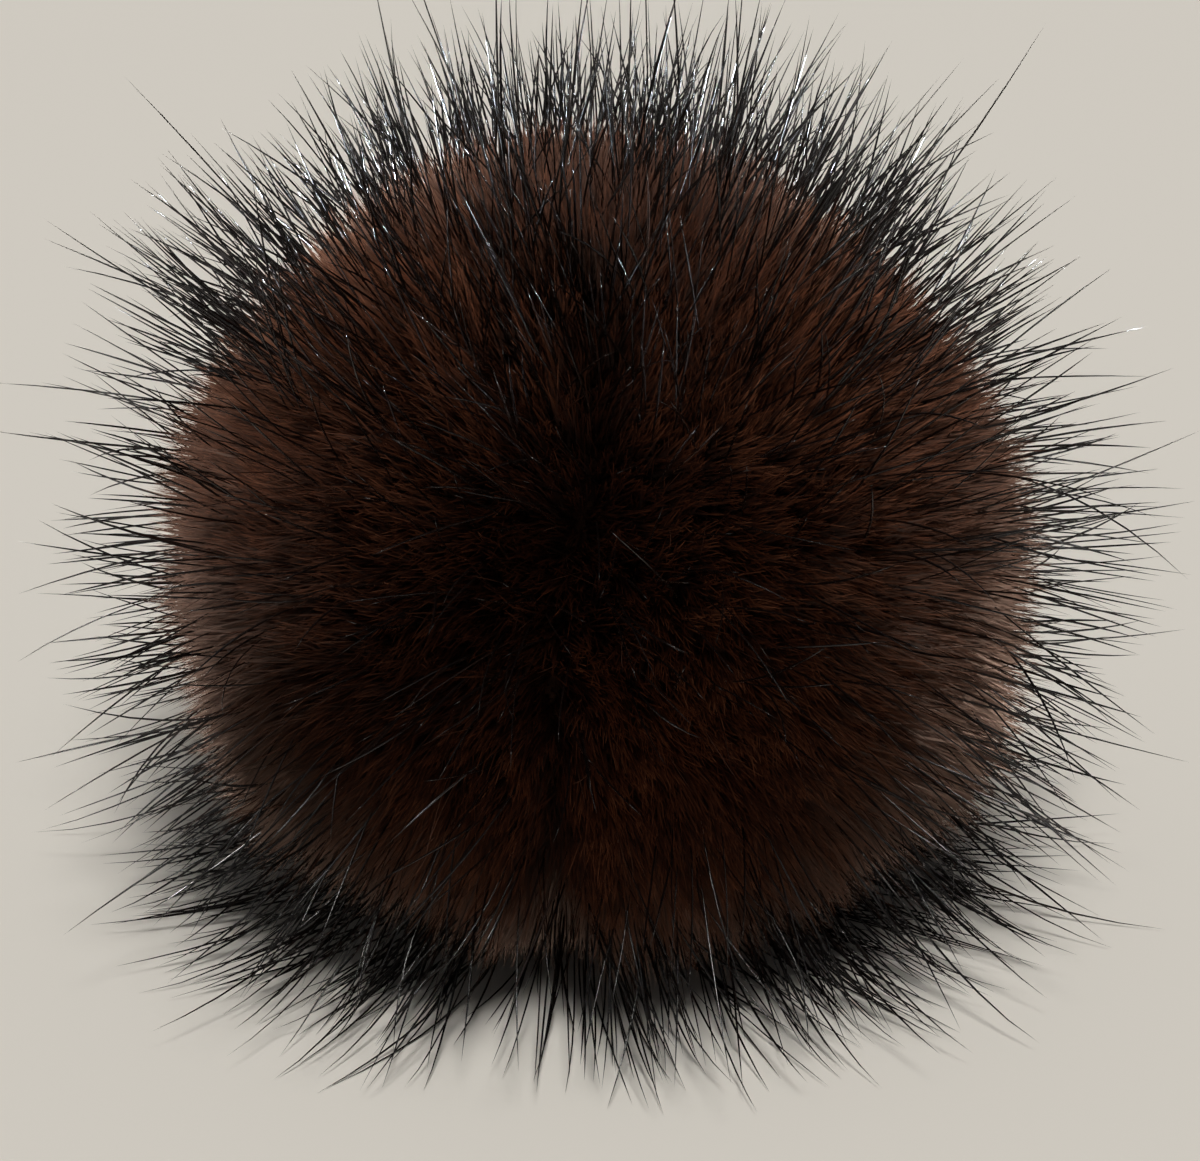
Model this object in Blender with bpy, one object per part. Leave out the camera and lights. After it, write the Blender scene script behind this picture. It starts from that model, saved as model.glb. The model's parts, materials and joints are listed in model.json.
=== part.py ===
"""A round fur pom pom, standing on its own underside.

It is one gathered piece: a dense ball of underfur with the longer guard hairs standing out of it in tufts.
The surface is laid out as directions from the middle of the ball. Each tuft takes a ring of points on the
pile, a narrower ring part of the way out and one point at its tip. The tufts that would reach below the
surface it stands on bend and lie along it. +Z is up, -Y is the front, and the origin is the middle of the
flat spot.
"""

import math
import random

import bmesh
import bpy
from mathutils import Quaternion, Vector, geometry, noise

# Driving dimensions, in metres.
PILE_RADIUS = 0.0305        # the dense underfur, from the middle outwards
PILE_HALF_HEIGHT = 0.0278   # the same upwards: the ball is a little squat
CENTRE_HEIGHT = 0.0262      # middle of the ball above the surface it stands on
GUARD_REACH = 0.0420        # the longest guard hairs, from the middle of the ball

# The guard hairs' tufts.
TUFT_COUNT = 430
TUFT_SHORTEST = 0.80        # of the longest tuft's height over the pile
TUFT_BASE = 0.0020          # radius where a tuft leaves the pile
TUFT_WAIST = 0.0011         # radius part of the way out
WAIST_AT = 0.42             # how far out that is, as a share of the height
TUFT_SCATTER = 0.020        # how far a tuft strays from its even place, in radians
TUFT_LEAN = 0.14            # how far its tip leans, in radians
BASE_SIDES = 5
WAIST_SIDES = 4
WAIST_ON_MAP = 0.45         # where the waist's ring is joined up, as a share of the base's ring

# The flat spot, and the tufts laid along the surface around it.
FOOT_SIDES = 28
FOOT_MARGIN = math.radians(2.5)   # clear pile between the flat spot and the nearest tuft
PATH_STEPS = 16

# Soft lobes all over the pile.
LOBE_HEIGHT = 0.0011
LOBES_ACROSS = 2.6
LOBE_PLACE = Vector((4.1, 1.7, 8.3))

# Furrows where the pile parts. Each runs between two directions, given in degrees round from +X and up.
PARTINGS = (
    {"from_turn": 90, "from_up": 78, "to_turn": 268, "to_up": 30, "depth": 0.0026, "width": 0.0030},
    {"from_turn": 266, "from_up": 30, "to_turn": 264, "to_up": 6, "depth": 0.0012, "width": 0.0028},
    {"from_turn": 264, "from_up": 6, "to_turn": 263, "to_up": -42, "depth": 0.0022, "width": 0.0026},
)

SEED = 11
SAME_PLACE = 1e-9           # points nearer than this on the flat map would be one
SMOOTH_UNDER = math.radians(70)
FUR_COLOUR = (0.035, 0.019, 0.013, 1.0)
FUR_ROUGHNESS = 0.8

CENTRE = Vector((0.0, 0.0, CENTRE_HEIGHT))
DOWN = Vector((0.0, 0.0, -1.0))


def clear_scene():
    for obj in list(bpy.data.objects):
        bpy.data.objects.remove(obj, do_unlink=True)


def fur_material():
    material = bpy.data.materials.new("dark_brown_fur")
    material.use_nodes = True
    shader = material.node_tree.nodes["Principled BSDF"]
    shader.inputs["Base Color"].default_value = FUR_COLOUR
    shader.inputs["Roughness"].default_value = FUR_ROUGHNESS
    shader.inputs["Metallic"].default_value = 0.0
    material.diffuse_color = FUR_COLOUR
    return material


def direction_of(turn, up):
    """The unit vector at these angles, in degrees round from +X and up from level."""
    turn, up = math.radians(turn), math.radians(up)
    return Vector((math.cos(up) * math.cos(turn), math.cos(up) * math.sin(turn), math.sin(up)))


def even_directions(count):
    """Unit vectors spread evenly over a sphere, from the top down, along a golden-angle spiral."""
    turn = math.pi * (3.0 - math.sqrt(5.0))
    for index in range(count):
        height = 1.0 - 2.0 * (index + 0.5) / count
        across = math.sqrt(1.0 - height * height)
        yield Vector((across * math.cos(turn * index), across * math.sin(turn * index), height))


def tilted(direction, angle, turn):
    """The direction moved by an angle, towards the side that turn picks round it."""
    side = direction.orthogonal().normalized()
    side.rotate(Quaternion(direction, turn))
    return (direction * math.cos(angle) + side * math.sin(angle)).normalized()


def angle_to_furrow(direction, start, end):
    """How far a direction is from the great-circle arc between two others, in radians."""
    along = start.angle(end)
    pole = start.cross(end).normalized()
    flat = (direction - pole * direction.dot(pole)).normalized()
    travelled = math.atan2(pole.dot(start.cross(flat)), start.dot(flat))
    if 0.0 <= travelled <= along:
        return direction.angle(flat)
    return min(direction.angle(start), direction.angle(end))


def parting_depth(direction):
    """How much the furrows lower the pile in a direction. Where two meet, the deeper one counts."""
    deepest = 0.0
    for row in PARTINGS:
        start = direction_of(row["from_turn"], row["from_up"])
        end = direction_of(row["to_turn"], row["to_up"])
        away = angle_to_furrow(direction, start, end) * PILE_RADIUS / row["width"]
        deepest = max(deepest, row["depth"] * math.exp(-away * away))
    return deepest


def pile_radius(direction):
    """Distance from the middle of the ball to the top of its underfur."""
    level = direction.x ** 2 + direction.y ** 2
    plain = 1.0 / math.sqrt(level / PILE_RADIUS ** 2 + direction.z ** 2 / PILE_HALF_HEIGHT ** 2)
    lobe = LOBE_HEIGHT * noise.noise(direction * LOBES_ACROSS + LOBE_PLACE)
    return plain + lobe - parting_depth(direction)


def pile_point(direction):
    """The pile's surface in a direction, pressed level where it stands."""
    reach = pile_radius(direction)
    if direction.z < 0.0:
        reach = min(reach, -CENTRE_HEIGHT / direction.z)
    return CENTRE + direction * reach


def tuft_path(start, heading, length):
    """Points along a tuft's middle, from the pile to its tip. One that would go through the surface that
    the pom pom stands on turns level instead, and only its tip comes down to it."""
    step = length / PATH_STEPS
    points = [start]
    for index in range(PATH_STEPS):
        steps_left = PATH_STEPS - index
        most_drop = max(points[-1].z, 0.0) / steps_left
        ahead = heading * step
        if ahead.z < -most_drop:
            level = Vector((heading.x, heading.y, 0.0)).normalized()
            ahead = level * math.sqrt(step * step - most_drop * most_drop) - Vector((0.0, 0.0, most_drop))
        points.append(points[-1] + ahead)
    return points


def waist_ring(middle, heading, turn):
    """Pairs of a way out from a tuft's middle and the point there, flattened where the tuft lies down."""
    for side in range(WAIST_SIDES):
        out = tilted(heading, math.pi / 2, turn + 2 * math.pi * side / WAIST_SIDES)
        point = middle + out * TUFT_WAIST
        point.z = max(point.z, 0.0)
        yield out, point


def foot_angle():
    """How wide the flat spot is, seen from the middle of the ball, measured from straight down."""
    width = PILE_RADIUS * math.sqrt(1.0 - (CENTRE_HEIGHT / PILE_HALF_HEIGHT) ** 2)
    return math.atan2(width, CENTRE_HEIGHT)


def tuft_points(direction, draw):
    """Pairs of a direction, which says how the surface joins up, and the place of that point."""
    base_angle = TUFT_BASE / PILE_RADIUS
    turn = draw.uniform(0.0, math.pi)
    height = (GUARD_REACH - PILE_RADIUS) * draw.uniform(TUFT_SHORTEST, 1.0)
    heading = tilted(direction, draw.uniform(0.0, TUFT_LEAN), draw.uniform(0.0, 2 * math.pi))
    start = pile_point(direction)
    reach = height + PILE_RADIUS - (start - CENTRE).length
    path = tuft_path(start, heading, reach)

    for side in range(BASE_SIDES):
        around = tilted(direction, base_angle, turn + 2 * math.pi * side / BASE_SIDES)
        yield around, pile_point(around)
    at = round(WAIST_AT * PATH_STEPS)
    along = (path[at + 1] - path[at - 1]).normalized()
    for out, point in waist_ring(path[at], along, turn):
        # Its direction follows its side of the tuft, so that the surface between the rings doesn't twist.
        flat = (out - direction * out.dot(direction)).normalized()
        yield (direction + flat * base_angle * WAIST_ON_MAP).normalized(), point
    tip = path[-1].copy()
    tip.z = max(tip.z, 0.0)
    yield direction, tip


def tuft_directions(draw):
    """Where the tufts stand: evenly all over, each a little off its place, and none on the flat spot."""
    nearest = foot_angle() + TUFT_BASE / PILE_RADIUS + FOOT_MARGIN
    for even in even_directions(TUFT_COUNT):
        direction = tilted(even, draw.uniform(0.0, TUFT_SCATTER), draw.uniform(0.0, 2 * math.pi))
        if direction.angle(DOWN) > nearest:
            yield direction


def foot_points():
    """The rim of the flat spot. On the flat map it is the outer edge, because nothing stands nearer down."""
    for side in range(FOOT_SIDES):
        direction = tilted(DOWN, foot_angle(), 2 * math.pi * side / FOOT_SIDES)
        point = CENTRE + direction * (CENTRE_HEIGHT / -direction.z)
        point.z = 0.0
        yield direction, point


def flattened(direction):
    """A direction's place on a flat map of the sphere that keeps circles round, seen from straight down."""
    return Vector((direction.x, direction.y)) / (1.0 + direction.z)


def surface_mesh(points):
    """One closed mesh through the places of all the points, joined up by their directions."""
    flat = [flattened(direction) for direction, _ in points]
    _, _, faces, source, _, _ = geometry.delaunay_2d_cdt(flat, [], [], 0, SAME_PLACE)
    mesh = bmesh.new()
    corners = [mesh.verts.new(points[ids[0]][1]) for ids in source]
    for face in faces:
        mesh.faces.new([corners[index] for index in face])
    rim = [edge for edge in mesh.edges if edge.is_boundary]
    bmesh.ops.contextual_create(mesh, geom=rim)
    bmesh.ops.recalc_face_normals(mesh, faces=mesh.faces)
    return mesh


def centre_across(shape):
    """Moves the shape level, so that the origin is under the middle of its box."""
    for axis in (0, 1):
        places = [vertex.co[axis] for vertex in shape.verts]
        middle = (min(places) + max(places)) / 2
        for vertex in shape.verts:
            vertex.co[axis] -= middle


def make_pom_pom():
    draw = random.Random(SEED)
    points = list(foot_points())
    for direction in list(tuft_directions(draw)):
        points.extend(tuft_points(direction, draw))
    shape = surface_mesh(points)
    centre_across(shape)
    mesh = bpy.data.meshes.new("pom_pom")
    shape.to_mesh(mesh)
    shape.free()
    mesh.shade_smooth()
    mesh.set_sharp_from_angle(angle=SMOOTH_UNDER)
    mesh.materials.append(fur_material())
    pom_pom = bpy.data.objects.new("pom_pom", mesh)
    bpy.context.scene.collection.objects.link(pom_pom)


clear_scene()
make_pom_pom()
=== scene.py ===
import json
import math

import bpy
import numpy as np
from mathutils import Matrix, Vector

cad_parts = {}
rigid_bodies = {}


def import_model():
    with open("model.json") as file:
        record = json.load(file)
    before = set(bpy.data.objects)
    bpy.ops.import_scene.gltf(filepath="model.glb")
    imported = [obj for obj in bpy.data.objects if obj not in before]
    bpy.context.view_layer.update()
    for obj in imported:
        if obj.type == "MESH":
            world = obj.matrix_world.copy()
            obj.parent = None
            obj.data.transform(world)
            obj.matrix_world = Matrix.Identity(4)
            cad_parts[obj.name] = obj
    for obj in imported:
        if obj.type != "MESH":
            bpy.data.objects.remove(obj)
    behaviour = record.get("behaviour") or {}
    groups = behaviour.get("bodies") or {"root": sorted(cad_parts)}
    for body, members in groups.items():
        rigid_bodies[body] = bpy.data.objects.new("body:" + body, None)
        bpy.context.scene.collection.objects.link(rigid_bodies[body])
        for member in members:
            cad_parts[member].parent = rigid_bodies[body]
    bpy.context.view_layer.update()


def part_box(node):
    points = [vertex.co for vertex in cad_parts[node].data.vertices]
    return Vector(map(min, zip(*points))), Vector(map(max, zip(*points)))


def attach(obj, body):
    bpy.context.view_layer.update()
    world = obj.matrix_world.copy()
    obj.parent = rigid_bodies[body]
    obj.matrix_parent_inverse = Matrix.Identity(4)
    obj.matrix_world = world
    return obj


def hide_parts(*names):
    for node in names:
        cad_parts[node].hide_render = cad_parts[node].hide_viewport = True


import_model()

# The fur's own sizes are shares of half the width over the hair tips.
lowCorner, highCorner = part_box("pom_pom")
halfWidth = (highCorner.x - lowCorner.x) / 2
mm = 0.001
ball = {
    "radius": 0.705 * halfWidth,        # top of the dense underfur, sideways
    "halfHeight": 0.672 * halfWidth,    # the same upwards, a little squat
    "middle": 0.640 * halfWidth,        # middle of the ball above the floor
    "lobeHeight": 0.026 * halfWidth,
    "lobeSize": 0.42 * halfWidth,
    "lobeSeed": 5,
    "floorGap": 0.03 * mm,              # the lowest hairs' middles lie at least this far above the floor
    "lowestShare": 0.3,                 # and their sides at least this share of it
}
ballMiddle = np.array([(lowCorner.x + highCorner.x) / 2, (lowCorner.y + highCorner.y) / 2, ball["middle"]])

# Where the ball is fuller or flatter than an even one: round and up in degrees, then how wide in degrees.
swells = [
    {"at": (22, 40), "height": -2.6 * mm, "width": 28},
    {"at": (151, 48), "height": -0.8 * mm, "width": 24},
    {"at": (183, -7), "height": -1.3 * mm, "width": 16},
    {"at": (347, -27), "height": 2.6 * mm, "width": 12},
    {"at": (199, -37), "height": 2.4 * mm, "width": 12},
    {"at": (268, -30), "height": 0.8 * mm, "width": 26},
]

# Furrows where the fur parts, from one direction to another, in degrees round from +X and up from level.
partings = [
    {"start": (270, 66), "end": (268, 26), "depth": 2.4 * mm, "width": 1.8 * mm, "lean": 0.20},
    {"start": (267, 26), "end": (264, 2), "depth": 1.4 * mm, "width": 2.2 * mm, "lean": 0.12},
    {"start": (267, 26), "end": (265, 17), "depth": 1.9 * mm, "width": 4.4 * mm, "lean": 0.10},
    {"start": (264, 2), "end": (262, -58), "depth": 3.0 * mm, "width": 1.8 * mm, "lean": 0.30},
]
leanReach = 2.4      # how far from a furrow the hair still leans, in the furrow's widths
print("frame loaded, half width", round(halfWidth / mm, 2), "mm")


# Camera

camera = {
    "up": 24.0,            # degrees down onto the ball
    "round": 0.0,
    "distance": 6.6,       # in half widths
    "width": 2.045,        # how much it takes in at the ball's middle, in half widths
    "aim": (0.006, 0.0, -0.066),   # off the ball's middle, in half widths
}


def makeCamera():
    up, turn = math.radians(camera["up"]), math.radians(camera["round"])
    back = Vector((math.sin(turn) * math.cos(up), -math.cos(turn) * math.cos(up), math.sin(up)))
    aim = Vector(ballMiddle) + Vector(camera["aim"]) * halfWidth
    data = bpy.data.cameras.new("pomPomCamera")
    data.sensor_fit = "HORIZONTAL"
    data.sensor_width = 36.0
    data.lens = data.sensor_width * camera["distance"] / camera["width"]
    data.clip_start = 0.005
    data.clip_end = 20.0
    view = bpy.data.objects.new("pomPomCamera", data)
    view.location = aim + back * camera["distance"] * halfWidth
    view.rotation_euler = back.to_track_quat("Z", "Y").to_euler()
    bpy.context.scene.collection.objects.link(view)
    bpy.context.scene.camera = view


makeCamera()
print("camera ready")


# Working with many directions at once

def unit(v):
    return v / np.maximum(np.linalg.norm(v, axis=-1, keepdims=True), 1e-12)


def dot(a, b):
    return np.sum(a * b, axis=-1, keepdims=True)


def smoothStep(x, low, high):
    t = np.clip((x - low) / (high - low), 0.0, 1.0)
    return t * t * (3.0 - 2.0 * t)


def spreadDirections(count):
    # even over the sphere, from the top down, along a golden-angle spiral
    index = np.arange(count) + 0.5
    height = 1.0 - 2.0 * index / count
    across = np.sqrt(1.0 - height * height)
    turn = index * math.pi * (3.0 - math.sqrt(5.0))
    return np.stack([across * np.cos(turn), across * np.sin(turn), height], axis=1)


def sidesOf(direction):
    # two ways along the surface at each direction, square to each other
    pole = np.where(np.abs(direction[:, 2:]) < 0.9, [[0.0, 0.0, 1.0]], [[1.0, 0.0, 0.0]])
    first = unit(np.cross(pole, direction))
    return first, np.cross(direction, first)


noiseCells = 32      # the random values repeat after this many steps of the noise's size


def softNoise(points, size, seed):
    # smooth random values from -1 to 1 that change over about this size
    table = np.random.default_rng(seed).uniform(-1.0, 1.0, (noiseCells, noiseCells, noiseCells))
    at = points / size + 2 * noiseCells
    cell = np.floor(at).astype(int)
    f = at - cell
    f = f * f * (3.0 - 2.0 * f)
    total = 0.0
    for dx in (0, 1):
        for dy in (0, 1):
            for dz in (0, 1):
                share = (f[:, 0] if dx else 1 - f[:, 0]) * (f[:, 1] if dy else 1 - f[:, 1])
                share = share * (f[:, 2] if dz else 1 - f[:, 2])
                i, j, k = ((cell + (dx, dy, dz)) % noiseCells).T
                total = total + share * table[i, j, k]
    return total


def softWay(points, size, seed):
    # a smooth random vector at each point
    return np.stack([softNoise(points, size, seed + axis) for axis in range(3)], axis=1)


def directionOf(angles):
    turn, up = (math.radians(a) for a in angles)
    return np.array([math.cos(up) * math.cos(turn), math.cos(up) * math.sin(turn), math.sin(up)])


def nearFurrow(direction, row):
    # how far each direction is from a furrow, in metres on the ball, and the way away from it
    start, end = directionOf(row["start"]), directionOf(row["end"])
    pole = unit(np.cross(start, end))
    flat = unit(direction - pole * dot(direction, pole))
    travelled = np.arctan2(dot(np.cross(start, flat), pole), dot(flat, start))[:, 0]
    along = math.acos(float(np.clip(np.dot(start, end), -1, 1)))
    nearest = np.where((travelled > 0)[:, None], flat, start)
    nearest = np.where((travelled > along)[:, None], end, nearest)
    apart = np.arccos(np.clip(dot(direction, nearest)[:, 0], -1, 1)) * ball["radius"]
    away = unit(direction - nearest * dot(direction, nearest))
    return apart, away


def partingDepth(direction):
    depth = np.zeros(len(direction))
    for row in partings:
        apart, _ = nearFurrow(direction, row)
        depth = np.maximum(depth, row["depth"] * np.exp(-((apart / row["width"]) ** 2)))
    return depth


def partingLean(direction):
    # hair beside a furrow leans away from it
    lean = np.zeros((len(direction), 3))
    for row in partings:
        apart, away = nearFurrow(direction, row)
        share = row["lean"] * np.exp(-((apart / (leanReach * row["width"])) ** 2))
        lean += away * share[:, None]
    return lean


def pileRadius(direction):
    # from the ball's middle to the top of the underfur
    level = direction[:, 0] ** 2 + direction[:, 1] ** 2
    plain = 1.0 / np.sqrt(level / ball["radius"] ** 2 + direction[:, 2] ** 2 / ball["halfHeight"] ** 2)
    lobes = ball["lobeHeight"] * softNoise(direction * ball["radius"], ball["lobeSize"], ball["lobeSeed"])
    for row in swells:
        apart = np.arccos(np.clip(direction @ directionOf(row["at"]), -1, 1))
        plain = plain + row["height"] * np.exp(-((apart / math.radians(row["width"])) ** 2))
    return plain + lobes - partingDepth(direction)


def pressedOnFloor(direction, radius, above):
    # the ball's underside stands flat
    down = np.minimum(direction[:, 2], -1e-6)
    most = (ball["middle"] - above) / -down
    return np.where(direction[:, 2] < 0, np.minimum(radius, most), radius)


# Making meshes

def meshPiece(name, points, triangles, uvs=None, smooth=True):
    mesh = bpy.data.meshes.new(name)
    mesh.vertices.add(len(points))
    mesh.vertices.foreach_set("co", points.astype(np.float32).ravel())
    mesh.loops.add(triangles.size)
    mesh.loops.foreach_set("vertex_index", triangles.astype(np.int32).ravel())
    mesh.polygons.add(len(triangles))
    mesh.polygons.foreach_set("loop_start", np.arange(len(triangles), dtype=np.int32) * 3)
    if uvs is not None:
        layer = mesh.uv_layers.new(name="OFBake")
        layer.uv.foreach_set("vector", uvs.astype(np.float32).ravel())
    mesh.update(calc_edges=True)
    mesh.polygons.foreach_set("use_smooth", np.full(len(triangles), smooth))
    piece = bpy.data.objects.new(name, mesh)
    bpy.context.scene.collection.objects.link(piece)
    return piece


settling = {
    "sharpest": 5.0,      # how sharply a hair may turn level, 1 for a straight run down
    "steepest": 0.9,      # the most of a step that goes down
    "outward": 0.4,       # how much it turns away from the ball
}


def settlePaths(paths, gap):
    # a hair that would end under the floor curves out along it instead, keeping its length
    settled = paths.copy()
    last = paths.shape[1] - 1
    start = np.maximum(paths[:, 0, 2], gap[:, 0] + ball["floorGap"])
    settled[:, 0, 2] = start
    room = start - gap[:, 0]
    drop = start - paths[:, -1, 2]
    bent = (paths[:, :, 2] < gap).any(axis=1)
    power = np.clip(drop / room, 1.0, settling["sharpest"])
    outward = unit(paths[:, 0, :2] - ballMiddle[:2])
    for k in range(1, last + 1):
        step = paths[:, k] - paths[:, k - 1]
        length = np.linalg.norm(step, axis=1)
        here = settled[:, k - 1]
        z = gap[:, k] + room * (1.0 - k / last) ** power
        z = np.maximum(z, here[:, 2] - settling["steepest"] * length)
        level = np.sqrt(np.maximum(length ** 2 - (z - here[:, 2]) ** 2, 0.0))
        way = unit(step[:, :2] + settling["outward"] * length[:, None] * outward)
        laid = np.concatenate([here[:, :2] + way * level[:, None], z[:, None]], axis=1)
        settled[:, k] = np.where(bent[:, None], laid, here + step)
    return settled


hairSides = 3
mapMargin = 0.01     # of the colour map beyond a hair's root and tip


def hairPiece(name, points, triangles, places, tones):
    # one mesh of many hairs alike, each placed across the colour map by its tone
    count, perHair = points.shape[:2]
    offsets = np.arange(count)[:, None, None] * perHair
    allTriangles = (np.array(triangles)[None] + offsets).reshape(-1, 3)
    uvs = np.tile(np.array(places)[None], (count, 1, 1, 1))
    uvs[..., 0] += tones[:, None, None]
    uvs[..., 1] = mapMargin + (1.0 - 2.0 * mapMargin) * uvs[..., 1]
    return meshPiece(name, points.reshape(-1, 3), allTriangles, uvs.reshape(-1, 2))


def hairMesh(name, paths, radii, tones, seed):
    # hairs swept along their paths, each ending in one point
    count, rings = paths.shape[:2]
    draw = np.random.default_rng(seed)
    first, second = sidesOf(unit(paths[:, -1] - paths[:, 0]))
    spin = draw.uniform(0, 2 * math.pi, (count, 1))
    reference = first * np.cos(spin) + second * np.sin(spin)
    points = np.empty((count, rings - 1, hairSides, 3))
    for k in range(rings - 1):
        ahead = unit(paths[:, k + 1] - paths[:, max(k - 1, 0)])
        side = unit(reference - ahead * dot(reference, ahead))
        up = np.cross(ahead, side)
        for s in range(hairSides):
            angle = 2 * math.pi * s / hairSides
            out = side * math.cos(angle) + up * math.sin(angle)
            points[:, k, s] = paths[:, k] + out * radii[:, k, None]
    points[:, :, :, 2] = np.maximum(points[:, :, :, 2], ball["lowestShare"] * ball["floorGap"])
    allPoints = np.concatenate([points.reshape(count, -1, 3), paths[:, -1:, :]], axis=1)

    strip = 0.006      # width of a hair's strip on the colour map
    tip = allPoints.shape[1] - 1
    triangles, places = [], []
    for k in range(rings - 1):
        low, high = k / (rings - 1), (k + 1) / (rings - 1)
        for s in range(hairSides):
            a, b = k * hairSides + s, k * hairSides + (s + 1) % hairSides
            left, right = strip * (s / hairSides - 0.5), strip * ((s + 1) / hairSides - 0.5)
            if k < rings - 2:
                triangles += [(a, b, b + hairSides), (a, b + hairSides, a + hairSides)]
                places += [((left, low), (right, low), (right, high))]
                places += [((left, low), (right, high), (left, high))]
            else:
                triangles += [(a, b, tip)]
                places += [((left, low), (right, low), ((left + right) / 2, high))]
    return hairPiece(name, allPoints, triangles, places, tones)


def spikeMesh(name, roots, tips, radii, tones, facing):
    # short straight hairs; all are shaded as if they faced the way the pile does
    first, second = sidesOf(unit(tips - roots))
    points = np.empty((len(roots), hairSides + 1, 3))
    for s in range(hairSides):
        angle = 2 * math.pi * s / hairSides
        points[:, s] = roots + (first * math.cos(angle) + second * math.sin(angle)) * radii[:, None]
    points[:, hairSides] = tips
    points[:, :, 2] = np.maximum(points[:, :, 2], ball["lowestShare"] * ball["floorGap"])
    strip = 0.003      # width of one side's strip on the colour map
    middle = hairSides / 2
    triangles, places = [], []
    for s in range(hairSides):
        triangles += [(s, (s + 1) % hairSides, hairSides)]
        left, right = strip * (s - middle), strip * (s + 1 - middle)
        places += [((left, 0), (right, 0), (strip * (s + 0.5 - middle), 1))]
    piece = hairPiece(name, points, triangles, places, tones)
    piece.data.normals_split_custom_set_from_vertices(np.repeat(facing, hairSides + 1, axis=0).tolist())
    return piece


# Materials

def newMaterial(name):
    material = bpy.data.materials.new(name)
    material.use_nodes = True
    nodes, links = material.node_tree.nodes, material.node_tree.links
    return material, nodes, links, nodes["Principled BSDF"]


def colourRamp(nodes, stops):
    ramp = nodes.new("ShaderNodeValToRGB")
    while len(ramp.color_ramp.elements) > 1:
        ramp.color_ramp.elements.remove(ramp.color_ramp.elements[0])
    ramp.color_ramp.elements[0].position = stops[0][0]
    ramp.color_ramp.elements[0].color = (*stops[0][1], 1.0)
    for position, colour in stops[1:]:
        ramp.color_ramp.elements.new(position).color = (*colour, 1.0)
    return ramp


def multiplied(nodes, links, one, other):
    mix = nodes.new("ShaderNodeMix")
    mix.data_type = "RGBA"
    mix.blend_type = "MULTIPLY"
    mix.inputs["Factor"].default_value = 1.0
    links.new(one, mix.inputs["A"])
    links.new(other, mix.inputs["B"])
    return mix.outputs["Result"]


def hairMaterial(name, look):
    # across the map is a hair's tone, up the map is its length from root to tip; for the underfur the tone
    # also holds painted light and shade, and the length painted shade towards the roots
    material, nodes, links, shader = newMaterial(name)
    place = nodes.new("ShaderNodeUVMap")
    place.uv_map = "OFBake"
    split = nodes.new("ShaderNodeSeparateXYZ")
    links.new(place.outputs["UV"], split.inputs["Vector"])
    tone = colourRamp(nodes, look["tones"])
    links.new(split.outputs["X"], tone.inputs["Fac"])
    length = colourRamp(nodes, look["length"])
    links.new(split.outputs["Y"], length.inputs["Fac"])
    stretch = nodes.new("ShaderNodeMapping")
    stretch.inputs["Scale"].default_value = look["streakScale"]
    links.new(place.outputs["UV"], stretch.inputs["Vector"])
    streaks = nodes.new("ShaderNodeTexNoise")
    streaks.inputs["Scale"].default_value = 1.0
    streaks.inputs["Detail"].default_value = 2.0
    links.new(stretch.outputs["Vector"], streaks.inputs["Vector"])
    streakRange = nodes.new("ShaderNodeMapRange")
    streakRange.inputs["From Min"].default_value = 0.3
    streakRange.inputs["From Max"].default_value = 0.7
    streakRange.inputs["To Min"].default_value = look["streakLow"]
    streakRange.inputs["To Max"].default_value = 1.0
    links.new(streaks.outputs["Fac"], streakRange.inputs["Value"])
    colour = multiplied(nodes, links, tone.outputs["Color"], length.outputs["Color"])
    colour = multiplied(nodes, links, colour, streakRange.outputs["Result"])
    links.new(colour, shader.inputs["Base Color"])
    gloss = nodes.new("ShaderNodeMapRange")
    gloss.inputs["To Min"].default_value = look["rootRough"]
    gloss.inputs["To Max"].default_value = look["tipRough"]
    links.new(split.outputs["Y"], gloss.inputs["Value"])
    links.new(gloss.outputs["Result"], shader.inputs["Roughness"])
    shader.inputs["IOR"].default_value = look["ior"]
    shader.inputs["Specular IOR Level"].default_value = look["specular"]
    shader.inputs["Sheen Weight"].default_value = look["sheen"]
    shader.inputs["Sheen Roughness"].default_value = 0.4
    shader.inputs["Sheen Tint"].default_value = (*look["sheenTint"], 1.0)
    return material


# The body of the ball, which the underfur stands on

core = {
    "below": 2.6 * mm,         # its surface under the underfur's tips
    "aboveFloor": 0.12 * mm,   # its flat underside
    "subdivisions": 5,
    "fleck": 0.35 * mm,        # height of its fine lumps
    "fleckSize": 0.9 * mm,
    "fleckSeeds": (21, 22),    # of the lumps and of those half as large
    "mottleSize": 5.4 * mm,
    "dark": (0.0030, 0.0014, 0.0009),
    "light": (0.0120, 0.0055, 0.0034),
    "shades": (0.14, 0.42),    # where on the mottling the dark ends and the light starts
    "bump": 0.4 * mm,
    "rough": (0.75, 0.95),
}


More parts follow.
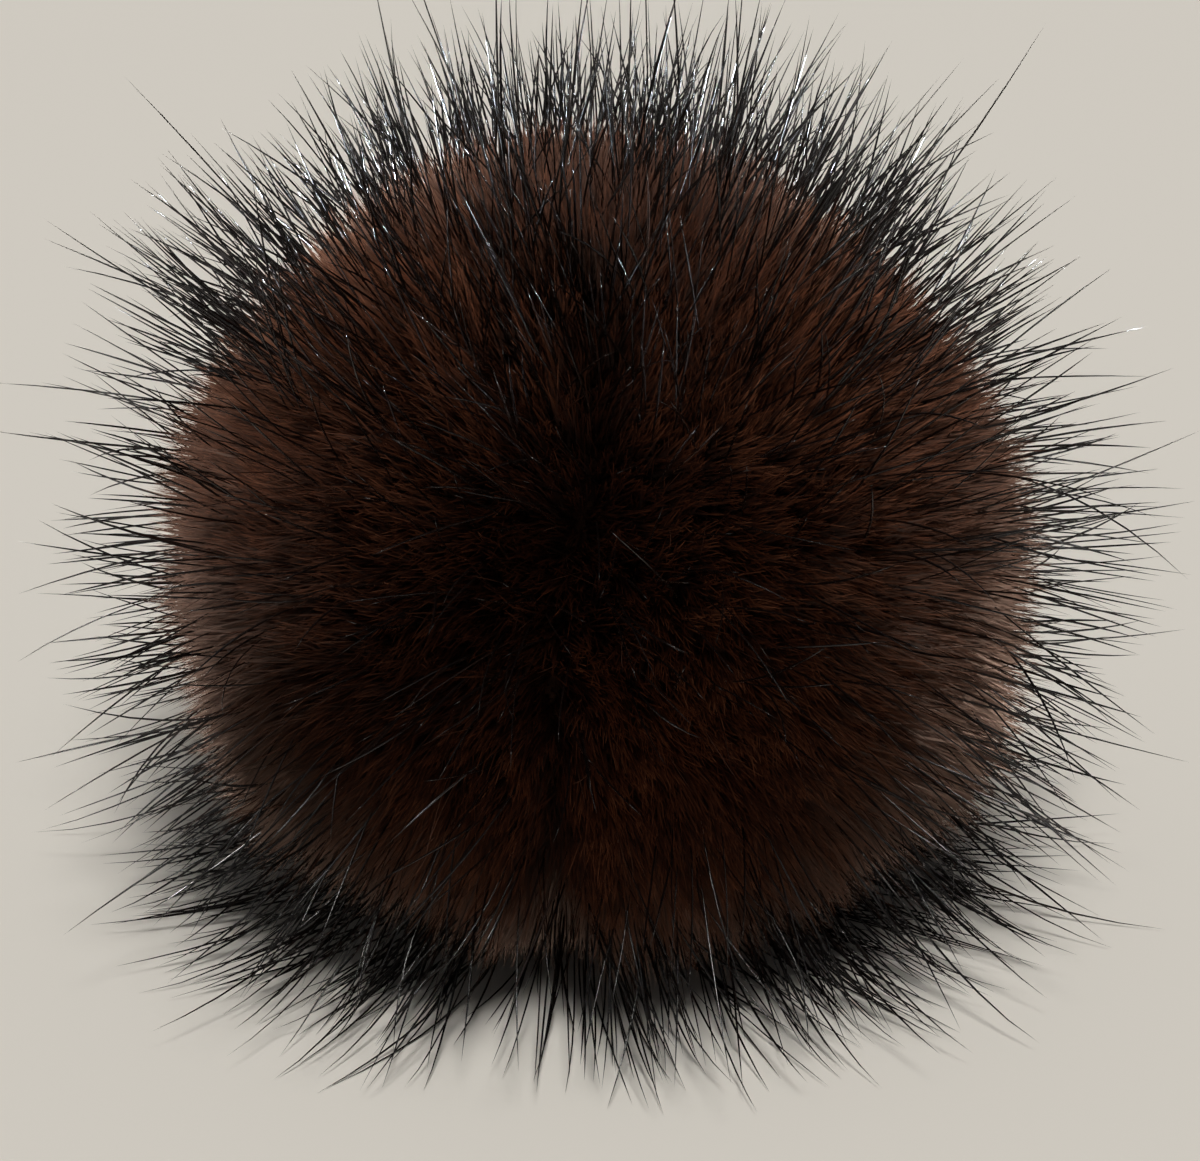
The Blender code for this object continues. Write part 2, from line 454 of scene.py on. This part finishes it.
def bodyMaterial():
    material, nodes, links, shader = newMaterial("underfurShade")
    where = nodes.new("ShaderNodeTexCoord")
    fine = nodes.new("ShaderNodeTexNoise")
    fine.inputs["Scale"].default_value = 1.0 / core["fleckSize"]
    fine.inputs["Detail"].default_value = 6.0
    fine.inputs["Roughness"].default_value = 0.62
    links.new(where.outputs["Object"], fine.inputs["Vector"])
    wide = nodes.new("ShaderNodeTexNoise")
    wide.inputs["Scale"].default_value = 1.0 / core["mottleSize"]
    wide.inputs["Detail"].default_value = 2.0
    links.new(where.outputs["Object"], wide.inputs["Vector"])
    both = nodes.new("ShaderNodeMath")
    both.operation = "MULTIPLY"
    links.new(fine.outputs["Fac"], both.inputs[0])
    links.new(wide.outputs["Fac"], both.inputs[1])
    ramp = colourRamp(nodes, [(core["shades"][0], core["dark"]), (core["shades"][1], core["light"])])
    links.new(both.outputs["Value"], ramp.inputs["Fac"])
    links.new(ramp.outputs["Color"], shader.inputs["Base Color"])
    bump = nodes.new("ShaderNodeBump")
    bump.inputs["Strength"].default_value = 0.8
    bump.inputs["Distance"].default_value = core["bump"]
    links.new(fine.outputs["Fac"], bump.inputs["Height"])
    links.new(bump.outputs["Normal"], shader.inputs["Normal"])
    rough = nodes.new("ShaderNodeMapRange")
    rough.inputs["To Min"].default_value = core["rough"][0]
    rough.inputs["To Max"].default_value = core["rough"][1]
    links.new(fine.outputs["Fac"], rough.inputs["Value"])
    links.new(rough.outputs["Result"], shader.inputs["Roughness"])
    shader.inputs["Specular IOR Level"].default_value = 0.0
    return material


def makeCore():
    bpy.ops.mesh.primitive_ico_sphere_add(subdivisions=core["subdivisions"], radius=1.0)
    piece = bpy.context.object
    piece.name = piece.data.name = "underfurBody"
    count = len(piece.data.vertices)
    direction = np.empty(count * 3)
    piece.data.vertices.foreach_get("co", direction)
    direction = unit(direction.reshape(-1, 3))
    radius = pileRadius(direction) - core["below"]
    places = direction * ball["radius"]
    large = softNoise(places, core["fleckSize"], core["fleckSeeds"][0])
    small = softNoise(places, core["fleckSize"] / 2, core["fleckSeeds"][1])
    radius = radius + core["fleck"] * (large + small / 2)
    radius = pressedOnFloor(direction, radius, core["aboveFloor"])
    points = ballMiddle + direction * radius[:, None]
    piece.data.vertices.foreach_set("co", points.ravel())
    piece.data.update()
    piece.data.shade_smooth()
    piece.data.materials.append(bodyMaterial())
    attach(piece, "root")
    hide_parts("pom_pom")
    print("ball's body:", len(piece.data.polygons), "faces")


makeCore()


# The underfur: short, fine hair in small wisps

underfur = {
    "wisps": 18800,
    "hairsPerWisp": 10,
    "pieces": ("underfurTop", "underfurMiddle", "underfurLower"),
    "seed": 31,
    "length": (2.8 * mm, 3.6 * mm),
    "stray": 0.38,             # share of hairs that stand out of the pile
    "strayLength": 2.9 * mm,
    "strayPower": 1.5,         # above 1, most of them stand out less than half as far
    "wispShift": 0.28 * mm,    # how far wisps are off an even spread
    "wispLean": 0.25,
    "leans": [                 # wisps lean alike over these sizes
        {"size": 2.2 * mm, "share": 1.0, "seed": 40},
        {"size": 8.8 * mm, "share": 0.6, "seed": 44},
    ],
    "wispStray": 0.13,         # and each strays this far from its neighbours
    "furrowLean": 0.8,         # share of the furrows' lean that the wisps take
    "hairLean": 0.10,
    "spread": 0.42 * mm,       # how far a wisp's hairs stand apart at the root
    "gather": (0.3, 0.9),      # how much they draw together at the tip
    "heightVary": 0.38 * mm,
    "heightSize": 1.4 * mm,    # over which wisps are of like height
    "heightSeed": 48,
    "heightStray": 0.7,
    "hairVary": 0.20 * mm,
    "rootRadius": 0.125 * mm,
    "thickness": (0.7, 1.25),
    "facingLean": 0.5,         # how much of a wisp's lean its shading follows
    "tone": {
        "middle": 0.45,
        "wisp": 0.14,          # how much each wisp, patch, area and hair differs
        "patch": 0.22,
        "patchSize": 1.7 * mm,
        "area": 0.12,
        "areaSize": 9 * mm,
        "hair": 0.05,
        "seeds": (60, 61),
        "under": 0.35,         # painted shade on the underside: how much darker it is, and from how far down
        "underFrom": (0.60, 0.92),
        "furrowShade": 0.50,        # painted shade in the furrows: how much darker they are
    },
    # painted shade darkens the pile at the middle of the front, the crown and the lower sides, and painted
    # light makes it paler at the shoulders
    "paintedLightAndShade": [
        {"at": (268, 18), "width": 26, "by": 0.30},
        {"at": (268, 82), "width": 32, "by": 0.46},
        {"at": (172, 40), "width": 28, "by": -0.34},
        {"at": (8, 38), "width": 28, "by": -0.30},
        {"at": (203, -28), "width": 24, "by": 0.28},
        {"at": (335, -30), "width": 22, "by": 0.12},
    ],
    "look": {
        "tones": [(0.0, (0.022, 0.0060, 0.0024)), (0.45, (0.068, 0.0220, 0.0098)),
                  (1.0, (0.155, 0.066, 0.036))],
        # the hairs darken towards their roots: painted shade deep in the pile
        "length": [(0.0, (0.04, 0.03, 0.025)), (0.45, (0.09, 0.07, 0.06)), (0.75, (0.42, 0.39, 0.37)),
                   (0.93, (1.0, 1.0, 1.0))],
        "streakScale": (60.0, 3.0, 1.0),
        "streakLow": 0.7,
        "rootRough": 0.9,
        "tipRough": 0.7,
        "ior": 1.45,
        "specular": 0.0,
        "sheen": 0.22,
        "sheenTint": (1.0, 0.70, 0.56),
    },
}


def makeWisps(draw):
    # where each wisp stands, the way it leans and how far it comes out of the pile
    direction = spreadDirections(underfur["wisps"])
    first, second = sidesOf(direction)
    shift = draw.normal(0.0, underfur["wispShift"], (2, len(direction), 1)) / ball["radius"]
    direction = unit(direction + first * shift[0] + second * shift[1])
    onBall = direction * ball["radius"]
    lean = sum(row["share"] * softWay(onBall, row["size"], row["seed"]) for row in underfur["leans"])
    lean = underfur["wispLean"] * lean + underfur["furrowLean"] * partingLean(direction)
    lean += draw.normal(0.0, underfur["wispStray"], lean.shape)
    height = softNoise(onBall, underfur["heightSize"], underfur["heightSeed"])
    height = height + draw.normal(0, underfur["heightStray"], len(onBall))
    return direction, lean, underfur["heightVary"] * height


def underfurTone(draw, wispDirection, direction, wisp):
    # 0 for the darkest hairs, 1 for the palest
    look = underfur["tone"]
    onBall = wispDirection * ball["radius"]
    tone = look["middle"] + look["wisp"] * draw.normal(0, 1, len(onBall))
    tone = tone + look["patch"] * softNoise(onBall, look["patchSize"], look["seeds"][0])
    area = softNoise(direction * ball["radius"], look["areaSize"], look["seeds"][1])
    tone = tone[wisp] + look["area"] * area + draw.normal(0, look["hair"], len(direction))
    # painted shade on the underside
    tone -= look["under"] * smoothStep(-direction[:, 2], *look["underFrom"])
    # painted shade in the furrows
    tone -= look["furrowShade"] * np.clip(partingDepth(direction) / partings[-1]["depth"], 0, 1)
    # painted light and shade over the front, crown, shoulders and lower sides
    for row in underfur["paintedLightAndShade"]:
        apart = np.arccos(np.clip(direction @ directionOf(row["at"]), -1, 1))
        tone -= row["by"] * np.exp(-((apart / math.radians(row["width"])) ** 2))
    return np.clip(tone, 0.01, 0.99)


def makeUnderfur():
    draw = np.random.default_rng(underfur["seed"])
    wispDirection, lean, height = makeWisps(draw)
    wisp = np.repeat(np.arange(len(wispDirection)), underfur["hairsPerWisp"])
    count = len(wisp)
    centre = wispDirection[wisp]
    first, second = sidesOf(centre)
    apart = draw.normal(0.0, underfur["spread"], (2, count, 1))
    offset = first * apart[0] + second * apart[1]
    direction = unit(centre * ball["radius"] + offset)
    length = draw.uniform(*underfur["length"], count)
    stray = draw.random(count) < underfur["stray"]
    out = np.where(stray, draw.random(count) ** underfur["strayPower"] * underfur["strayLength"], 0.0)
    top = pileRadius(direction) + height[wisp] + draw.normal(0, underfur["hairVary"], count) + out
    length = length + out
    hairLean = lean[wisp] + draw.normal(0.0, underfur["hairLean"], (count, 3))
    heading = unit(direction + hairLean - direction * dot(hairLean, direction))
    # the tips stand at the pile's top, drawn towards the wisp's own tip
    rise = length * dot(heading, direction)[:, 0]
    root = ballMiddle + direction * (top - rise)[:, None]
    tip = root + heading * length[:, None] - offset * draw.uniform(*underfur["gather"], (count, 1))
    tip[:, 2] = np.maximum(tip[:, 2], ball["floorGap"] * (1 + 2 * draw.random(count)))
    keep = root[:, 2] > 2 * ball["floorGap"]
    radii = underfur["rootRadius"] * draw.uniform(*underfur["thickness"], count)
    tone = underfurTone(draw, wispDirection, direction, wisp)
    facing = unit(direction + underfur["facingLean"] * lean[wisp])
    material = hairMaterial("underfurBrown", underfur["look"])
    split = np.array_split(np.flatnonzero(keep), len(underfur["pieces"]))
    for name, chosen in zip(underfur["pieces"], split):
        piece = spikeMesh(name, root[chosen], tip[chosen], radii[chosen], tone[chosen], facing[chosen])
        piece.data.materials.append(material)
        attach(piece, "root")
        print(name, len(chosen), "hairs,", len(piece.data.polygons), "triangles")


makeUnderfur()


# The guard hair: long, straight and glossy, in loose pointed groups

guardLook = {
    "tones": [(0.0, (0.003, 0.0019, 0.0017)), (0.6, (0.008, 0.0046, 0.0038)),
              (1.0, (0.026, 0.0135, 0.0090))],
    "length": [(0.0, (1.2, 0.9, 0.7)), (0.35, (1.0, 0.95, 0.9)), (0.85, (0.85, 0.9, 1.0)),
               (1.0, (1.3, 1.2, 1.15))],
    "streakScale": (80.0, 4.0, 1.0),
    "streakLow": 0.7,
    "rootRough": 0.30,
    "tipRough": 0.16,
    "ior": 1.55,
    "specular": 0.5,
    "sheen": 0.0,
    "sheenTint": (1.0, 1.0, 1.0),
}
floorLook = dict(guardLook, specular=0.12, tipRough=0.25)
awnLook = dict(guardLook, rootRough=0.6, tipRough=0.4, ior=1.45, specular=0.02)
awnLook["length"] = [(0.0, (0.7, 0.6, 0.55)), (0.5, (1.0, 1.0, 1.0)), (1.0, (0.9, 0.9, 0.95))]
awnLook["tones"] = [(0.0, (0.007, 0.0026, 0.0015)), (0.6, (0.020, 0.0078, 0.0045)),
                    (1.0, (0.058, 0.025, 0.014))]
guardHair = {
    "name": "guardHair",
    "groups": 880,
    "band": (-0.80, 1.0),              # how far down and up the ball it grows, -1 to 1
    "hairsPerGroup": (1, 4),
    "rings": 8,                        # points along each hair
    "seed": 101,
    "above": (9.0 * mm, 15.0 * mm),    # how far the groups stand out of the underfur
    "short": 0.60,                     # the shortest hair of a group, in its group's length
    "rootBelow": 2.6 * mm,             # how deep in the underfur it starts
    "radius": 0.082 * mm,
    "rootThin": 0.5,                   # its thickness at the root, as a share
    "taperFrom": 0.62,                 # where along it the taper starts
    "groupSpread": 1.0 * mm,           # how far a group's hairs stand apart at the root
    "gather": (0.0, 0.85),             # how much they draw together at the tip
    "hover": 2.2 * mm,                 # the most that hair laid on the floor is above it
    "groupLean": 0.20,
    "hairLean": 0.15,
    "bend": 0.32,
    "upright": 0.20,
    "droop": 0.04,
}
floorHair = dict(
    guardHair, name="floorHair", groups=290, band=(-0.95, -0.58), rings=9, seed=151,
    above=(11.0 * mm, 19.0 * mm), groupSpread=0.75 * mm, gather=(0.1, 0.9), hover=3.4 * mm,
    hairLean=0.10, bend=0.20, droop=0.0)
crownHair = dict(
    guardHair, name="crownHair", groups=310, band=(0.50, 1.0), seed=171, above=(8.0 * mm, 14.0 * mm),
    groupLean=0.18, hairLean=0.11, bend=0.20, upright=0.22, droop=0.0)
awnHair = dict(
    guardHair, name="awnHair", groups=760, band=(-0.90, 1.0), rings=5, seed=202, above=(2.4 * mm, 8.4 * mm),
    rootBelow=2.2 * mm, radius=0.044 * mm, rootThin=0.6, taperFrom=0.40, groupSpread=0.7 * mm,
    gather=(0.0, 0.8), hover=1.2 * mm, groupLean=0.18, hairLean=0.13, bend=0.22, upright=0.18, droop=0.02)

# what all the long hair shares
longHair = {
    "reach": 1.03 * halfWidth,      # how far out a tip may be; hairs that go further are left out
    "sparse": {"at": (268, -14), "width": 28, "fewer": 0.60},     # low on the front
    "shift": 0.32,                  # how far groups are off an even spread, in steps of it
    "leanSize": 7 * mm,             # over which groups lean alike
    "leanStray": 0.5,
    "furrowLean": 0.5,              # share of the furrows' lean that the groups take
    "rootsAboveFloor": 0.5 * mm,
    "longest": 1.06,                # of a hair, in its group's length
    "uprightFrom": (-0.1, 0.6),     # how far up the ball the hair starts to stand upright, and does in full
    "curlPower": 0.6,               # below 1, few hairs are quite straight
    "gatherPower": 1.3,             # above 1, a group draws together mostly near its tips
    "thickness": (0.7, 1.2),
    "thickFrom": 0.45,              # where along it a hair reaches its full thickness
    "taperTo": 1.06,                # where the taper would end, a little past the tip
    "taperPower": 0.7,
    "hoverPower": 2.5,              # above 1, most hairs lie low
    "tone": {"middle": 0.4, "patch": 0.2, "patchSize": 5 * mm, "hair": 0.2, "seed": 90},
}


def hairGroups(hair, draw):
    # a direction for each group, over the hair's own band of the ball
    low, high = hair["band"]
    group = spreadDirections(round(hair["groups"] / ((high - low) / 2)))
    first, second = sidesOf(group)
    step = math.sqrt(4 * math.pi / len(group))
    shift = draw.normal(0.0, longHair["shift"] * step, (2, len(group), 1))
    group = unit(group + first * shift[0] + second * shift[1])
    group = group[(group[:, 2] > low) & (group[:, 2] < high)]
    sparse = longHair["sparse"]
    apart = np.arccos(np.clip(group @ directionOf(sparse["at"]), -1, 1))
    fewer = sparse["fewer"] * np.exp(-((apart / math.radians(sparse["width"])) ** 2))
    return group[draw.random(len(group)) > fewer]


def makeLongHair(hair, material):
    draw = np.random.default_rng(hair["seed"])
    group = hairGroups(hair, draw)
    lean = softWay(group * ball["radius"], longHair["leanSize"], hair["seed"])
    lean = hair["groupLean"] * (lean + draw.normal(0, longHair["leanStray"], group.shape))
    lean += longHair["furrowLean"] * partingLean(group)
    groupAbove = draw.uniform(*hair["above"], len(group))
    gather = draw.uniform(*hair["gather"], len(group))
    members = draw.integers(hair["hairsPerGroup"][0], hair["hairsPerGroup"][1] + 1, len(group))

    owner = np.repeat(np.arange(len(group)), members)
    count = len(owner)
    first, second = sidesOf(group[owner])
    apart = draw.normal(0.0, hair["groupSpread"], (2, count, 1))
    offset = first * apart[0] + second * apart[1]
    direction = unit(group[owner] * ball["radius"] + offset)
    below = pileRadius(direction) - hair["rootBelow"]
    root = direction * pressedOnFloor(direction, below, longHair["rootsAboveFloor"])[:, None]
    length = groupAbove[owner] * draw.uniform(hair["short"], longHair["longest"], count) + hair["rootBelow"]
    # hair on the upper half stands a little more upright than straight out
    upWay = np.array([0.0, 0.0, 1.0]) - direction * direction[:, 2:]
    upright = hair["upright"] * smoothStep(direction[:, 2:], *longHair["uprightFrom"])
    start = direction + lean[owner] + upWay * upright + draw.normal(0, hair["hairLean"], (count, 3))
    start = unit(start)
    curl = draw.normal(0, hair["bend"], (count, 3)) * draw.random((count, 1)) ** longHair["curlPower"]
    end = start + curl - np.array([0.0, 0.0, hair["droop"]])
    share = np.linspace(0.0, 1.0, hair["rings"])
    paths = np.empty((count, hair["rings"], 3))
    for k, s in enumerate(share):
        way = start * s + (end - start) * (s * s * 0.5)
        together = offset * (1.0 - gather[owner, None] * s ** longHair["gatherPower"]) - offset
        paths[:, k] = root + way * length[:, None] + together
    paths += ballMiddle
    thick = draw.uniform(*longHair["thickness"], (count, 1))
    # thin at the root, full past the middle, then drawn to a fine point
    shape = hair["rootThin"] + (1 - hair["rootThin"]) * smoothStep(share, 0.0, longHair["thickFrom"])
    taper = 1.0 - smoothStep(share, hair["taperFrom"], longHair["taperTo"])
    shape = shape * taper ** longHair["taperPower"]
    radii = hair["radius"] * thick * shape[None, :]
    gap = radii + ball["floorGap"] + hair["hover"] * draw.random((count, 1)) ** longHair["hoverPower"]
    paths = settlePaths(paths, gap)
    within = np.linalg.norm(paths[:, -1, :2] - ballMiddle[:2], axis=1) < longHair["reach"]
    look = longHair["tone"]
    patch = softNoise(direction * ball["radius"], look["patchSize"], look["seed"])
    tone = look["middle"] + look["patch"] * patch + draw.normal(0, look["hair"], count)
    tone = np.clip(tone, 0.01, 0.99)
    piece = hairMesh(hair["name"], paths[within], radii[within, :-1], tone[within], hair["seed"] + 1)
    piece.data.materials.append(material)
    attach(piece, "root")
    print(hair["name"], int(within.sum()), "hairs,", len(piece.data.polygons), "triangles")


guardMaterial = hairMaterial("guardHairBrown", guardLook)
makeLongHair(guardHair, guardMaterial)
makeLongHair(crownHair, guardMaterial)
makeLongHair(floorHair, hairMaterial("floorHairBlack", floorLook))
makeLongHair(awnHair, hairMaterial("awnHairBrown", awnLook))


# Floor and lights

# Lamps are placed and sized in half widths, from the ball's middle.
# A light falls only on the pieces that its "on" names.
studio = {
    "floorColour": (0.80, 0.77, 0.71),
    "floorReach": 60 * halfWidth,
    "worldColour": (1.0, 0.97, 0.95),
    "worldStrength": 0.15,
    "suns": [
        {"name": "furSun", "on": "fur", "from": (0.04, -0.30, 1.0), "strength": 1.65, "spread": 9.0},
        {"name": "floorSun", "on": "floor", "from": (0.08, -0.56, 1.0), "strength": 2.35, "spread": 12.0},
    ],
    "lamps": [
        {"name": "leftLamp", "on": "pile", "at": (-2.9, 1.0, 3.7), "size": 1.2, "power": 0.76,
         "colour": (1.0, 0.97, 0.95)},
        {"name": "rightLamp", "on": "pile", "at": (2.9, 1.0, 3.6), "size": 1.2, "power": 0.78,
         "colour": (1.0, 0.95, 0.90)},
        {"name": "frontLamp", "on": "pile", "at": (0.2, -2.9, -0.45), "size": 1.6, "power": 0.085,
         "colour": (1.0, 0.93, 0.84)},
        {"name": "leftGlint", "on": "crown", "at": (-3.2, 0.1, -0.1), "size": 0.3, "power": 1.5,
         "colour": (0.80, 0.91, 1.0)},
        {"name": "rightGlint", "on": "crown", "at": (3.2, 0.3, 0.0), "size": 0.3, "power": 1.2,
         "colour": (0.84, 0.92, 1.0)},
        {"name": "highGlint", "on": "longHair", "at": (-4.3, 1.3, 2.4), "size": 0.4, "power": 0.09,
         "colour": (1.0, 0.98, 0.94)},
    ],
    "sunColour": (1.0, 0.98, 0.95),
    "sunAway": 8 * halfWidth,
}


def makeFloor():
    side = studio["floorReach"]
    points = np.array([(-side, -side, 0), (side, -side, 0), (side, side, 0), (-side, side, 0)])
    floor = meshPiece("studioFloor", points, np.array([(0, 1, 2), (0, 2, 3)]), smooth=False)
    material, _, _, shader = newMaterial("paleFloor")
    shader.inputs["Base Color"].default_value = (*studio["floorColour"], 1.0)
    shader.inputs["Roughness"].default_value = 0.75
    shader.inputs["Specular IOR Level"].default_value = 0.3
    floor.data.materials.append(material)


def litCollections():
    # the floor, the pile and the long hair are each lit apart, so that each shows clearly
    members = {"floor": ["studioFloor"], "pile": ["underfurBody", "awnHair", *underfur["pieces"]],
               "longHair": [hair["name"] for hair in (guardHair, crownHair, floorHair)]}
    members["fur"] = members["pile"] + members["longHair"]
    members["crown"] = [crownHair["name"]]
    lit = {}
    for group, names in members.items():
        lit[group] = bpy.data.collections.new(group + "Lit")
        for name in names:
            lit[group].objects.link(bpy.data.objects[name])
    return lit


def placeLight(row, data, place, fromWay, lit):
    light = bpy.data.objects.new(row["name"], data)
    light.location = place
    light.rotation_euler = fromWay.to_track_quat("Z", "Y").to_euler()
    light.light_linking.receiver_collection = lit[row["on"]]
    bpy.context.scene.collection.objects.link(light)


def makeLights():
    lit = litCollections()
    for row in studio["suns"]:
        data = bpy.data.lights.new(row["name"], "SUN")
        data.energy = row["strength"]
        data.angle = math.radians(row["spread"])
        data.color = studio["sunColour"]
        placeLight(row, data, Vector(row["from"]) * studio["sunAway"], Vector(row["from"]), lit)
    for row in studio["lamps"]:
        data = bpy.data.lights.new(row["name"], "AREA")
        data.shape = "DISK"
        data.size = row["size"] * halfWidth
        data.energy = row["power"]
        data.color = row["colour"]
        place = Vector(ballMiddle) + Vector(row["at"]) * halfWidth
        placeLight(row, data, place, place - Vector(ballMiddle), lit)
    world = bpy.data.worlds.new("studioWorld")
    world.use_nodes = True
    background = world.node_tree.nodes["Background"]
    background.inputs["Color"].default_value = (*studio["worldColour"], 1.0)
    background.inputs["Strength"].default_value = studio["worldStrength"]
    scene = bpy.context.scene
    scene.world = world
    scene.view_settings.view_transform = "Standard"
    scene.cycles.use_light_tree = False      # quicker, with so few lights
    scene.cycles.max_bounces = 4
    scene.cycles.sample_clamp_direct = 60.0   # keeps glints on the thinnest tips from sparkling


makeFloor()
makeLights()
print("floor and lights ready")
